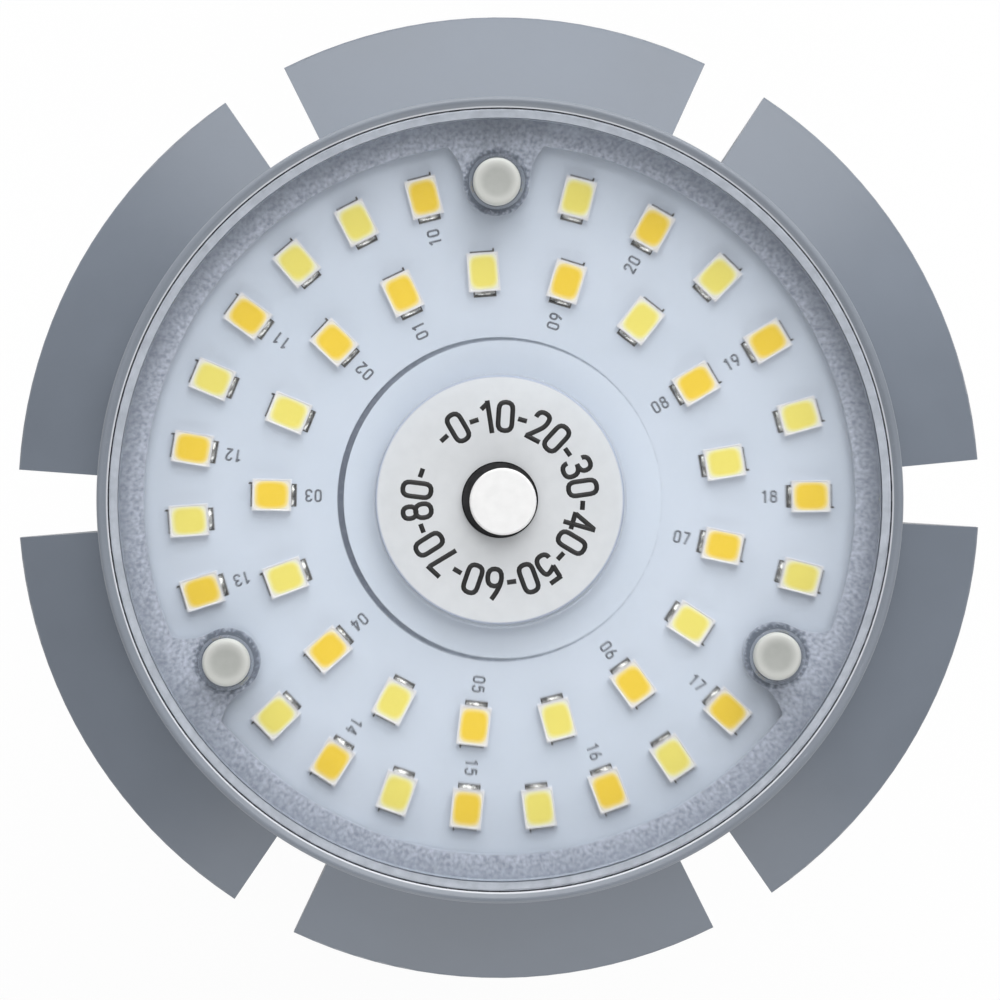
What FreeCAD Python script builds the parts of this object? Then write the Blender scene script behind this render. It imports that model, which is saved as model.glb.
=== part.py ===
import FreeCAD
import Part
import math
import os

# LED lamp that replaces a discharge lamp. Sizes are in millimetres and degrees.
# The lamp stands on its screw base: +Z runs from the base to the lit end.
# The origin is the tip of the base's centre contact.

# Whole lamp: petals and light panels stand round the axis with an air slot between each two.
panel_count = 6
body_radius = 42.0
slot_angle = 8.1
slip_gap = 0.1
loose_gap = 0.3

# Screw base: mogul thread, four turns to the inch, rolled in thin sheet.
contact_radius = 6.0
contact_height = 2.6
contact_round = 1.2
insulator_foot_radius = 8.5
insulator_cone_height = 5.8
insulator_rim_height = 0.8
insulator_spigot_height = 5.0
thread_root_radius = 17.9
thread_depth = 1.6
thread_pitch = 6.35
thread_length = 30.0
thread_fade_turns = 0.6
shell_wall = 0.6
shell_skirt = 6.0

# Wires
lead_radius = 0.6
shell_lead_offset = 12.0
shell_lead_bend = 3.0

# Neck: a plastic cup that swells from the base to the panels and holds the driver.
neck_foot_radius = 21.0
neck_foot_height = 3.0
neck_foot_chamfer = 0.6
neck_bell_height = 30.0
neck_step = 5.0
neck_barrel_height = 22.0
neck_wall = 2.0
neck_spigot_depth = 15.0
neck_spigot_wall = 2.2
neck_ledge_width = 1.5
neck_ledge_height = 2.0
neck_boss_inset = 5.5
neck_boss_radius = 3.4
neck_boss_height = 6.0
neck_boss_web = 3.0
neck_screw_angle = 60.0

# Driver on its round board
driver_lift = 4.0
driver_board_thickness = 1.6
transformer_width = 22.0
transformer_depth = 17.0
transformer_height = 18.0
transformer_offset = 11.5
capacitor_radius = 6.5
capacitor_height = 19.0
choke_radius = 6.0
choke_height = 12.0
driver_part_spread = 12.0
driver_part_offset = 11.0

# Two slide switches behind a flat window in the neck
switch_spacing = 14.0
switch_width = 9.0
switch_height = 6.0
switch_depth = 6.0
switch_cavity_depth = 3.0
slider_travel = 4.0
slider_foot_width = 3.2
slider_foot_height = 3.0
slider_foot_depth = 2.4
knob_size = 2.2
knob_proud = 0.7
window_recess_depth = 2.2
window_recess_margin = 1.2
window_wall = 2.4

# Rear frame
rear_height = 6.0
rear_bore_margin = 6.5
rear_spigot_depth = 2.5
rear_petal_edge = 2.8
rear_slot_angle = 12.2

# Core: six-sided aluminium extrusion
core_length = 74.0
panel_depth = 11.0
core_corner_cut = 1.8
core_wall = 7.0
core_fin_count = 12
core_fin_height = 7.0
core_fin_thickness = 1.6
core_groove_depth = 2.0
core_groove_width = 4.0

# Screws
screw_radius = 1.5
screw_head_radius = 2.7
screw_head_height = 1.8
screw_bite = 4.5
tie_screw_inset = 2.5
tie_screw_angle = 0.0
small_screw_radius = 1.1
small_head_radius = 1.9
small_head_height = 1.1

# Side panels
side_board_edge = 2.2
side_board_thickness = 1.2
side_board_margin = 0.5
side_led_rows = 8
side_led_pitch = 8.6
side_led_spread = 11.0
side_screw_inset = 4.0
side_lead_spread = 3.0
side_cover_wall = 1.5
side_cover_round = 1.2
side_cover_step = 0.6
side_cover_inset_angle = 2.0

# Front frame: floor, ledge, ring, petals and three bosses in one casting
front_floor = 6.0
front_ledge = 2.0
petal_reach = 7.45
ring_wall = 0.95
ring_height = 12.5
ring_round = 0.35
ring_lip_round = 0.12
petal_edge = 2.6
petal_rise = 5.4
petal_round = 0.4
boss_count = 3
boss_inset = 3.55
boss_first_angle = 90.0
lobe_radius = 2.6
lobe_flare = 4.5

# Front board and its LEDs
ledge_width = 2.65
front_board_thickness = 1.2
led_length = 3.36
led_width = 2.74
led_inner_lead = 0.46
led_outer_lead = 0.14
led_height = 0.7
led_ring_spacing = 7.2
inner_ring_start = 93.5
inner_ring_colours = "cwwcwcwcwcwcwcwcw"
outer_ring_inset = 3.95
outer_ring_groups = ((150.0, 13.3, "wccwcwcw"), (270.0, 13.3, "cwcwcwcw"), (30.0, 15.0, "cwcwcwc"))
front_lead_circle = 15.0
front_lead_angles = (40.0, 60.0, 80.0)

# Clear front cover
gasket_thickness = 0.6
gasket_overhang = 0.25
cover_height = 3.4
cover_gap = 0.1
cover_thickness = 1.8
cover_skirt_wall = 0.7
cover_edge_round = 0.15
lip_width = 0.75
lip_drop = 0.15
cover_bore_round = 0.2
cup_bore_radius = 2.15
cup_wall = 0.68
cup_chamfer = 0.25
cup_floor = 0.8
plug_thickness = 1.4
plug_round = 0.35

# Port in the middle: white disc, jack and the plug that closes it
bezel_radius = 10.75
bezel_thickness = 1.3
bezel_drop = 2.9
bezel_edge_round = 0.15
bezel_skirt_radius = 9.9
bezel_skirt_wall = 1.5
bezel_seat = 2.0
flange_radius = 13.75
flange_gap = 0.3
flange_shift = 0.26
jack_body_radius = 5.2
jack_body_height = 17.0
jack_collar_radius = 3.2
jack_collar_height = 2.0
jack_bore_radius = 1.8
jack_bore_depth = 14.0
jack_tag_circle = 3.2
jack_tag_length = 5.0
jack_tag_width = 1.4
jack_tag_thickness = 1.0
jack_tag_count = 3
stopper_head_radius = 2.88
stopper_head_height = 1.2
stopper_head_round = 0.2
stopper_lean = 0.25
stopper_stem_length = 8.0

# Levels from the bottom up
rim_z = contact_height + insulator_cone_height
shell_z = rim_z + insulator_rim_height
skirt_z = shell_z + thread_length
neck_z = skirt_z + shell_skirt
bell_z = neck_z + neck_foot_height
barrel_z = bell_z + neck_bell_height
driver_z = barrel_z + driver_lift
driver_top_z = driver_z + driver_board_thickness
rear_z = barrel_z + neck_barrel_height
rear_spigot_z = rear_z - rear_spigot_depth
core_z = rear_z + rear_height
front_z = core_z + core_length
floor_z = front_z + front_floor
board_top_z = floor_z + front_board_thickness
ledge_z = floor_z + front_ledge
ring_z = front_z + ring_height
gasket_z = ledge_z + gasket_thickness
cover_z = gasket_z + cover_height
face_z = cover_z - lip_drop
cup_bore_z = gasket_z + cup_floor
bezel_top_z = face_z - bezel_drop
bezel_z = bezel_top_z - bezel_thickness
bezel_foot_z = front_z + bezel_seat
jack_z = bezel_z - jack_body_height
jack_top_z = bezel_z + jack_collar_height

# Radii and angles that follow from the sizes above
spigot_radius = thread_root_radius - shell_wall - slip_gap
neck_barrel_radius = body_radius - neck_step
neck_bore_radius = neck_barrel_radius - neck_wall
neck_boss_circle = neck_bore_radius - neck_boss_inset
driver_board_radius = neck_bore_radius - loose_gap
ring_radius = body_radius - petal_reach
ring_bore_radius = ring_radius - ring_wall
board_bore_radius = ring_bore_radius - ledge_width
front_board_radius = board_bore_radius - slip_gap
boss_circle = front_board_radius - boss_inset
outer_ring_radius = front_board_radius - outer_ring_inset
inner_ring_radius = outer_ring_radius - led_ring_spacing
cover_radius = ring_bore_radius - cover_gap
cover_bore_radius = bezel_radius + slip_gap
core_apothem = body_radius - panel_depth
core_corner_radius = core_apothem / math.cos(math.pi / panel_count) - core_corner_cut
core_bore_radius = core_apothem - core_wall
tie_screw_circle = core_apothem - tie_screw_inset
rear_bore_radius = tie_screw_circle - rear_bore_margin
side_board_half = math.sqrt(core_corner_radius ** 2 - core_apothem ** 2) - side_board_edge
side_led_face = core_apothem + side_board_thickness
side_lead_circle = core_apothem + side_board_thickness / 2
panel_angles = [(k + 0.5) * 360.0 / panel_count for k in range(panel_count)]
slot_angles = [k * 360.0 / panel_count for k in range(panel_count)]
boss_angles = [boss_first_angle + k * 360.0 / boss_count for k in range(boss_count)]
tie_angles = [tie_screw_angle + k * 120.0 for k in range(3)]
neck_screw_angles = [neck_screw_angle + k * 120.0 for k in range(3)]
window_face_y = -(neck_barrel_radius - window_recess_depth)
window_back_y = window_face_y + window_wall
switch_front_y = window_back_y + slip_gap
switch_z = driver_top_z + switch_height / 2
switch_centres = (-switch_spacing / 2, switch_spacing / 2)

axis_point = FreeCAD.Vector(0, 0, 0)
axis_up = FreeCAD.Vector(0, 0, 1)


def at(radius, degrees, z=0.0):
    angle = math.radians(degrees)
    return FreeCAD.Vector(radius * math.cos(angle), radius * math.sin(angle), z)


def line(start, end):
    return Part.LineSegment(start, end).toShape()


def arc(start, through, end):
    return Part.Arc(start, through, end).toShape()


def turned(shape, degrees):
    copy = shape.copy()
    copy.rotate(axis_point, axis_up, degrees)
    return copy


def spread(shape, angles):
    return [turned(shape, degrees) for degrees in angles]


def cylinder(radius, low, high, x=0.0, y=0.0):
    return Part.makeCylinder(radius, high - low, FreeCAD.Vector(x, y, low))


def tube(bore, radius, low, high):
    return cylinder(radius, low, high).cut(cylinder(bore, low, high))


def block(x_low, x_high, y_low, y_high, z_low, z_high):
    corner = FreeCAD.Vector(x_low, y_low, z_low)
    return Part.makeBox(x_high - x_low, y_high - y_low, z_high - z_low, corner)


def radial_cylinder(radius, low, high, z):
    """Cylinder that runs outward along X from one radius to another."""
    return Part.makeCylinder(radius, high - low, FreeCAD.Vector(low, 0, z), FreeCAD.Vector(1, 0, 0))


def revolved(edges):
    """Solid of revolution from a closed outline drawn in the XZ plane."""
    return Part.Face(Part.Wire(edges)).revolve(axis_point, axis_up, 360)


def outline(corners):
    """Straight edges through (radius, z) corners, closed at the end."""
    points = [FreeCAD.Vector(radius, 0, z) for radius, z in corners]
    return [line(points[i - 1], points[i]) for i in range(len(points))]


def rounded_outline(corners):
    """Like outline, for corners of (radius, z, round): a round above zero turns the corner into an arc."""
    ways = []
    for i, (radius, z, rounding) in enumerate(corners):
        here = FreeCAD.Vector(radius, 0, z)
        before = FreeCAD.Vector(corners[i - 1][0], 0, corners[i - 1][1])
        after_corner = corners[(i + 1) % len(corners)]
        after = FreeCAD.Vector(after_corner[0], 0, after_corner[1])
        to_before = (before - here).normalize()
        to_after = (after - here).normalize()
        half = to_before.getAngle(to_after) / 2
        if rounding > 0:
            reach = rounding / math.tan(half)
            middle = (to_before + to_after).normalize()
            through = here + middle * (rounding / math.sin(half) - rounding)
            ways.append((here + to_before * reach, through, here + to_after * reach))
        else:
            ways.append((here, None, here))
    edges = []
    for i, (enter, through, leave) in enumerate(ways):
        edges.append(line(ways[i - 1][2], enter))
        if through is not None:
            edges.append(arc(enter, through, leave))
    return edges


def prism(edges, low, high):
    """Upright solid from a closed flat outline drawn at z = 0."""
    solid = Part.Face(Part.Wire(edges)).extrude(FreeCAD.Vector(0, 0, high - low))
    solid.translate(FreeCAD.Vector(0, 0, low))
    return solid


def screw(shank, head, head_height, length, z):
    """Screw that points down with the seat of its head at z."""
    body = cylinder(shank, z - length, z).fuse(cylinder(head, z, z + head_height))
    return body.removeSplitter()


def save(name, shapes):
    shape = shapes[0] if len(shapes) == 1 else Part.makeCompound(shapes)
    if not shape.isValid():
        raise ValueError(name + " is not a valid shape")
    shape.exportStep(os.path.join("parts", name + ".step"))


def thread_radius(degrees, z):
    """Outer radius of the rolled shell: a round right-hand thread that fades out at both ends."""
    turns = (z - shell_z) / thread_pitch
    turns_left = (skirt_z - z) / thread_pitch
    rise = max(0.0, min(1.0, turns / thread_fade_turns, turns_left / thread_fade_turns))
    blend = rise * rise * (3 - 2 * rise)
    wave = 0.5 + 0.5 * math.cos(2 * math.pi * turns - math.radians(degrees))
    return thread_root_radius + thread_depth * wave * blend


def base_shell():
    """Threaded bar with flat ends, a plain skirt on top of it under the neck, and a bore through both."""
    rows = round(thread_length / thread_pitch * 10)
    columns = 24
    grid = []
    for i in range(rows + 1):
        z = shell_z + thread_length * i / rows
        turns = [360.0 * j / columns for j in range(columns + 1)]
        grid.append([at(thread_radius(turn, z), turn, z) for turn in turns])
    surface = Part.BSplineSurface()
    surface.interpolate(grid)
    faces = [surface.toShape()]
    for edge in faces[0].Edges:
        if edge.BoundBox.ZLength < slip_gap:
            faces.append(Part.Face(Part.Wire(edge)))
    skin = Part.makeShell(faces)
    skin.sewShape()
    body = Part.Solid(skin).fuse(cylinder(thread_root_radius + thread_depth, skirt_z, neck_z))
    return body.cut(cylinder(thread_root_radius - shell_wall, shell_z, neck_z))


def base_contact():
    corners = [(0, 0, 0), (contact_radius, 0, contact_round), (contact_radius, contact_height, 0)]
    return revolved(rounded_outline(corners + [(0, contact_height, 0)]))


def base_insulator():
    lead_hole = lead_radius + loose_gap
    corners = [
        (lead_hole, contact_height),
        (insulator_foot_radius, contact_height),
        (thread_root_radius, rim_z),
        (thread_root_radius, shell_z),
        (spigot_radius, shell_z),
        (spigot_radius, shell_z + insulator_spigot_height),
        (lead_hole, shell_z + insulator_spigot_height),
    ]
    return revolved(outline(corners))


def shell_lead():
    """Wire from the driver down past the neck's spigot, then outward to the shell's inner wall."""
    turn_z = neck_z - neck_spigot_depth - shell_lead_bend
    end_z = turn_z - shell_lead_bend
    wall = thread_root_radius - shell_wall
    start = FreeCAD.Vector(shell_lead_offset, 0, driver_z)
    bend_start = FreeCAD.Vector(shell_lead_offset, 0, turn_z)
    slant = shell_lead_bend * math.sqrt(0.5)
    bend_middle = FreeCAD.Vector(shell_lead_offset + shell_lead_bend - slant, 0, turn_z - slant)
    bend_end = FreeCAD.Vector(shell_lead_offset + shell_lead_bend, 0, end_z)
    end = FreeCAD.Vector(wall - slip_gap, 0, end_z)
    path = Part.Wire([line(start, bend_start), arc(bend_start, bend_middle, bend_end), line(bend_end, end)])
    section = Part.Wire(Part.makeCircle(lead_radius, start, axis_up))
    return path.makePipeShell([section], True, False)


def bell_edges(inset):
    """Two arcs that carry the neck from its foot out to its barrel, moved in by the wall for the inside."""
    turn = 2 * math.atan2(neck_barrel_radius - neck_foot_radius, neck_bell_height)
    bend = neck_bell_height / 2 / math.sin(turn)
    low_x = neck_foot_radius + bend
    high_x = neck_barrel_radius - bend
    low = bend + inset
    high = bend - inset

    def low_point(angle):
        return FreeCAD.Vector(low_x - low * math.cos(angle), 0, bell_z + low * math.sin(angle))

    def high_point(angle):
        return FreeCAD.Vector(high_x + high * math.cos(angle), 0, barrel_z - high * math.sin(angle))

    lower = arc(low_point(0), low_point(turn / 2), low_point(turn))
    upper = arc(high_point(turn), high_point(turn / 2), high_point(0))
    return [lower, upper]


def neck_housing():
    spigot_bore = spigot_radius - neck_spigot_wall
    spigot_z = neck_z - neck_spigot_depth
    shelf_z = neck_z + neck_wall
    outside = [
        (spigot_bore, spigot_z),
        (spigot_radius, spigot_z),
        (spigot_radius, neck_z),
        (neck_foot_radius - neck_foot_chamfer, neck_z),
        (neck_foot_radius, neck_z + neck_foot_chamfer),
        (neck_foot_radius, bell_z),
    ]
    top = [
        (neck_barrel_radius, barrel_z),
        (neck_barrel_radius, rear_z),
        (neck_bore_radius, rear_z),
        (neck_bore_radius, barrel_z),
    ]
    inside = [
        (neck_foot_radius - neck_wall, bell_z),
        (neck_foot_radius - neck_wall, shelf_z),
        (spigot_bore, shelf_z),
        (spigot_bore, spigot_z),
    ]
    edges = []
    for run in (outside, top, inside):
        points = [FreeCAD.Vector(radius, 0, z) for radius, z in run]
        edges += [line(points[i], points[i + 1]) for i in range(len(points) - 1)]
    edges += bell_edges(0.0) + bell_edges(neck_wall)
    cup = revolved(Part.__sortEdges__(edges))

    ledge = tube(neck_bore_radius - neck_ledge_width, neck_bore_radius + slip_gap,
                 driver_z - neck_ledge_height, driver_z)
    boss_z = rear_spigot_z - neck_boss_height
    boss = cylinder(neck_boss_radius, boss_z, rear_spigot_z, neck_boss_circle)
    web_reach = neck_bore_radius + neck_wall / 2
    web = block(neck_boss_circle, web_reach, -neck_boss_web / 2, neck_boss_web / 2, boss_z, rear_spigot_z)
    bosses = spread(boss.fuse(web), neck_screw_angles)

    recess_half_width = (switch_spacing + switch_width) / 2 + window_recess_margin
    recess_half_height = knob_size / 2 + window_recess_margin
    pad_half_height = switch_height / 2 - loose_gap
    pad = block(-recess_half_width, recess_half_width, -neck_barrel_radius, window_back_y,
                switch_z - pad_half_height, switch_z + pad_half_height)
    pad = pad.common(cylinder(neck_bore_radius + neck_wall / 2, driver_z, rear_z))
    recess = block(-recess_half_width, recess_half_width, -neck_barrel_radius, window_face_y,
                   switch_z - recess_half_height, switch_z + recess_half_height)
    half_window = (slider_travel + knob_size) / 2 + loose_gap
    window_half_height = knob_size / 2 + slip_gap
    windows = []
    for x in switch_centres:
        windows.append(block(x - half_window, x + half_window, window_face_y, window_back_y,
                             switch_z - window_half_height, switch_z + window_half_height))

    pilot = cylinder(screw_radius, rear_spigot_z - screw_bite, rear_spigot_z, neck_boss_circle)
    body = cup.fuse([ledge, pad] + bosses)
    body = body.cut([recess] + windows + spread(pilot, neck_screw_angles))
    return body.removeSplitter()


def switch_parts(x):
    """Body of a slide switch on the driver board and the slider that shows in the window."""
    cavity_half_width = (slider_travel + slider_foot_width) / 2 + slip_gap
    cavity_half_height = slider_foot_height / 2 + slip_gap
    cavity_back_y = switch_front_y + switch_cavity_depth
    body = block(x - switch_width / 2, x + switch_width / 2, switch_front_y, switch_front_y + switch_depth,
                 driver_top_z, driver_top_z + switch_height)
    cavity = block(x - cavity_half_width, x + cavity_half_width, switch_front_y, cavity_back_y,
                   switch_z - cavity_half_height, switch_z + cavity_half_height)
    foot_back_y = cavity_back_y - slip_gap
    foot = block(x - slider_foot_width / 2, x + slider_foot_width / 2, foot_back_y - slider_foot_depth,
                 foot_back_y, switch_z - slider_foot_height / 2, switch_z + slider_foot_height / 2)
    knob = block(x - knob_size / 2, x + knob_size / 2, window_face_y - knob_proud, foot_back_y,
                 switch_z - knob_size / 2, switch_z + knob_size / 2)
    return body.cut(cavity), foot.fuse(knob).removeSplitter()


def driver_parts():
    board = cylinder(driver_board_radius, driver_z, driver_top_z)
    half = transformer_width / 2
    transformer = block(-half, half, transformer_offset - transformer_depth / 2,
                        transformer_offset + transformer_depth / 2, driver_z - transformer_height, driver_z)
    capacitor = cylinder(capacitor_radius, driver_z - capacitor_height, driver_z,
                         -driver_part_spread, -driver_part_offset)
    choke = cylinder(choke_radius, driver_z - choke_height, driver_z, driver_part_spread, -driver_part_offset)
    return board, transformer, capacitor, choke


def slot_cutters(angle, bottom_radius, low, high):
    """Air slots between the petals: wedges with radial sides that stop at the bottom radius."""
    reach = body_radius * 1.2
    half = angle / 2
    corners = [axis_point, at(reach, -half), at(reach, half)]
    wedge = prism([line(corners[i - 1], corners[i]) for i in range(3)], low, high)
    wedge = wedge.cut(cylinder(bottom_radius, low, high))
    return spread(wedge, slot_angles)


def lead_holes(circle, angles, low, high):
    hole = cylinder(lead_radius + slip_gap, low, high, circle)
    return spread(hole, angles)


def side_lead_angles():
    half = math.degrees(math.atan2(side_lead_spread / 2, side_lead_circle))
    return [angle + side * half for angle in panel_angles for side in (-1, 1)]


def rear_frame():
    spigot = neck_bore_radius - slip_gap
    corners = [
        (rear_bore_radius, rear_spigot_z, 0),
        (spigot, rear_spigot_z, 0),
        (spigot, rear_z, 0),
        (neck_barrel_radius, rear_z, 0),
        (body_radius, core_z - rear_petal_edge, petal_round),
        (body_radius, core_z, 0),
        (rear_bore_radius, core_z, 0),
    ]
    body = revolved(rounded_outline(corners))
    head_z = core_z - screw_head_height
    head_holes = spread(cylinder(screw_head_radius + slip_gap, head_z, core_z, neck_boss_circle), neck_screw_angles)
    shank_holes = spread(cylinder(screw_radius + slip_gap, rear_spigot_z, core_z, neck_boss_circle), neck_screw_angles)
    tie_holes = spread(cylinder(screw_radius, core_z - screw_bite, core_z, tie_screw_circle), tie_angles)
    leads = lead_holes(side_lead_circle, side_lead_angles(), rear_spigot_z, core_z)
    cutters = slot_cutters(rear_slot_angle, neck_barrel_radius, rear_z, core_z)
    return body.cut(head_holes + shank_holes + tie_holes + leads + cutters)


def neck_screws():
    seat = core_z - screw_head_height
    length = seat - rear_spigot_z + screw_bite
    one = screw(screw_radius, screw_head_radius, screw_head_height, length, seat)
    one.translate(FreeCAD.Vector(neck_boss_circle, 0, 0))
    return spread(one, neck_screw_angles)


def core_heatsink():
    corner = core_apothem / math.cos(math.pi / panel_count)
    corners = [at(corner, angle) for angle in slot_angles]
    hexagon = prism([line(corners[i - 1], corners[i]) for i in range(panel_count)], core_z, front_z)
    body = hexagon.common(cylinder(core_corner_radius, core_z, front_z))
    fin = block(core_bore_radius - core_fin_height, core_bore_radius, -core_fin_thickness / 2,
                core_fin_thickness / 2, core_z, front_z)
    fin_angles = [(k + 0.5) * 360.0 / core_fin_count for k in range(core_fin_count)]
    bore = cylinder(core_bore_radius, core_z, front_z).cut(spread(fin, fin_angles))
    groove_bottom = core_corner_radius - core_groove_depth
    groove = block(groove_bottom, core_corner_radius * 1.1, -core_groove_width / 2, core_groove_width / 2,
                   core_z, front_z)
    tie_hole = cylinder(screw_radius + slip_gap, core_z, front_z, tie_screw_circle)
    cutters = [bore] + spread(groove, slot_angles) + spread(tie_hole, tie_angles)
    for z in side_screw_levels():
        pilot = radial_cylinder(small_screw_radius, core_apothem - screw_bite, core_corner_radius, z)
        cutters += spread(pilot, panel_angles)
    return body.cut(cutters)


def tie_screws():
    seat = floor_z - screw_head_height
    length = seat - core_z + screw_bite
    one = screw(screw_radius, screw_head_radius, screw_head_height, length, seat)
    one.translate(FreeCAD.Vector(tie_screw_circle, 0, 0))
    return spread(one, tie_angles)


def side_screw_levels():
    reach = side_board_margin + side_screw_inset
    return (core_z + reach, front_z - reach)


def side_board():
    board = block(core_apothem, side_led_face, -side_board_half, side_board_half,
                  core_z + side_board_margin, front_z - side_board_margin)
    holes = []
    for z in side_screw_levels():
        holes.append(radial_cylinder(small_screw_radius + slip_gap, core_apothem, side_led_face, z))
    return board.cut(holes)


def side_leds(colour):
    """Solids of one colour's LEDs on all the side boards: the two colours take turns along each column."""
    middle = (core_z + front_z) / 2
    chips = []
    for row in range(side_led_rows):
        z = middle + (row - (side_led_rows - 1) / 2) * side_led_pitch
        for column, y in enumerate((-side_led_spread / 2, side_led_spread / 2)):
            if "wc"[(row + column) % 2] == colour:
                chip = block(side_led_face, side_led_face + led_height, y - led_width / 2, y + led_width / 2,
                             z - led_length / 2 - led_outer_lead, z + led_length / 2 + led_inner_lead)
                chips += spread(chip, panel_angles)
    return chips


def side_cover():
    """Clear hood over one side board: an arc outside, two radial sides, open towards the core."""
    outer = body_radius - side_cover_step
    inner = outer - side_cover_wall
    foot = core_corner_radius + slip_gap
    half = 180.0 / panel_count - slot_angle / 2 - side_cover_inset_angle
    inner_half = half - math.degrees(math.asin(side_cover_wall / inner))
    foot_half = half - math.degrees(math.asin(side_cover_wall / foot))
    edges = [
        line(at(foot, -half), at(outer, -half)),
        arc(at(outer, -half), at(outer, 0), at(outer, half)),
        line(at(outer, half), at(foot, half)),
        line(at(foot, half), at(foot, foot_half)),
        line(at(foot, foot_half), at(inner, inner_half)),
        arc(at(inner, inner_half), at(inner, 0), at(inner, -inner_half)),
        line(at(inner, -inner_half), at(foot, -foot_half)),
        line(at(foot, -foot_half), at(foot, -half)),
    ]
    hood = prism(edges, core_z, front_z)
    corners = []
    for edge in hood.Edges:
        upright = edge.BoundBox.ZLength > core_length / 2
        if upright and abs(math.hypot(edge.CenterOfMass.x, edge.CenterOfMass.y) - outer) < slip_gap:
            corners.append(edge)
    return hood.makeFillet(side_cover_round, corners)


def side_screws():
    screws = []
    for z in side_screw_levels():
        shank = radial_cylinder(small_screw_radius, core_apothem - screw_bite, side_led_face, z)
        head = radial_cylinder(small_head_radius, side_led_face, side_led_face + small_head_height, z)
        screws += spread(shank.fuse(head).removeSplitter(), panel_angles)
    return screws


def side_leads():
    wire = cylinder(lead_radius, driver_top_z, core_z + side_board_margin, side_lead_circle)
    return spread(wire, side_lead_angles())


def lobe(grow, low, high):
    """Tongue of the ledge that runs in to a boss, with flared sides. Drawn for a boss on the X axis."""
    half = lobe_radius + grow
    flare = lobe_flare - grow
    slant = flare * math.sqrt(0.5)
    far = boss_circle + flare
    right = FreeCAD.Vector(boss_circle, -half, 0)
    left = FreeCAD.Vector(boss_circle, half, 0)
    right_far = FreeCAD.Vector(far, -half - flare, 0)
    left_far = FreeCAD.Vector(far, half + flare, 0)
    edges = [
        arc(left, FreeCAD.Vector(boss_circle - half, 0, 0), right),
        arc(right, FreeCAD.Vector(boss_circle + slant, -half - flare + slant, 0), right_far),
        line(right_far, left_far),
        arc(left_far, FreeCAD.Vector(boss_circle + slant, half + flare - slant, 0), left),
    ]
    return prism(edges, low, high)


def ledge_tongue(grow, low, high):
    return lobe(grow, low, high).common(cylinder(board_bore_radius + slip_gap, low, high))


def front_frame():
    pocket = bezel_skirt_radius + loose_gap
    jack_hole = bezel_skirt_radius - bezel_skirt_wall
    petal_root_z = front_z + petal_edge + petal_rise
    chamfer_z = ring_z - ring_wall + ring_round
    corners = [
        (jack_hole, front_z, 0),
        (body_radius, front_z, 0),
        (body_radius, front_z + petal_edge, petal_round),
        (ring_radius, petal_root_z, petal_round),
        (ring_radius, ring_z, ring_round),
        (ring_bore_radius, chamfer_z, ring_lip_round),
        (ring_bore_radius, ledge_z, 0),
        (board_bore_radius, ledge_z, 0),
        (board_bore_radius, floor_z, 0),
        (pocket, floor_z, 0),
        (pocket, bezel_foot_z, 0),
        (jack_hole, bezel_foot_z, 0),
    ]
    body = revolved(rounded_outline(corners))
    tongue = ledge_tongue(0.0, floor_z, ledge_z)
    body = body.fuse(spread(tongue, boss_angles))
    head_z = floor_z - screw_head_height
    head_holes = spread(cylinder(screw_head_radius + slip_gap, head_z, floor_z, tie_screw_circle), tie_angles)
    tie_holes = spread(cylinder(screw_radius + slip_gap, front_z, floor_z, tie_screw_circle), tie_angles)
    pilot = cylinder(small_screw_radius, ledge_z - screw_bite, ledge_z, boss_circle)
    pilots = spread(pilot, boss_angles)
    leads = lead_holes(front_lead_circle, front_lead_angles, front_z, floor_z)
    slots = slot_cutters(slot_angle, ring_radius, front_z, ring_z)
    return body.cut(head_holes + tie_holes + pilots + leads + slots).removeSplitter()


def front_board():
    disc = tube(flange_radius + flange_gap, front_board_radius, floor_z, board_top_z)
    return disc.cut(spread(lobe(slip_gap, floor_z, board_top_z), boss_angles))


def front_leds(colour):
    """Solids of the LEDs of one colour: w for warm, c for cool."""
    spots = []
    step = 360.0 / len(inner_ring_colours)
    for i, mark in enumerate(inner_ring_colours):
        spots.append((inner_ring_radius, inner_ring_start + i * step, mark))
    for middle, pitch, marks in outer_ring_groups:
        for i, mark in enumerate(marks):
            spots.append((outer_ring_radius, middle + (i - (len(marks) - 1) / 2) * pitch, mark))
    chips = []
    for radius, angle, mark in spots:
        if mark == colour:
            inner = radius - led_length / 2 - led_inner_lead
            outer = radius + led_length / 2 + led_outer_lead
            chip = block(inner, outer, -led_width / 2, led_width / 2, board_top_z, board_top_z + led_height)
            chips.append(turned(chip, angle))
    return chips


def front_leads():
    wire = cylinder(lead_radius, driver_top_z, floor_z, front_lead_circle)
    return spread(wire, front_lead_angles)


def cover_gasket():
    """Flat seal on the ledge, with a tongue and a hole at each boss."""
    band = tube(board_bore_radius - gasket_overhang, cover_radius, ledge_z, gasket_z)
    hole = cylinder(small_screw_radius + slip_gap, ledge_z, gasket_z, boss_circle)
    band = band.fuse(spread(ledge_tongue(gasket_overhang, ledge_z, gasket_z), boss_angles))
    return band.cut(spread(hole, boss_angles)).removeSplitter()


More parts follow.
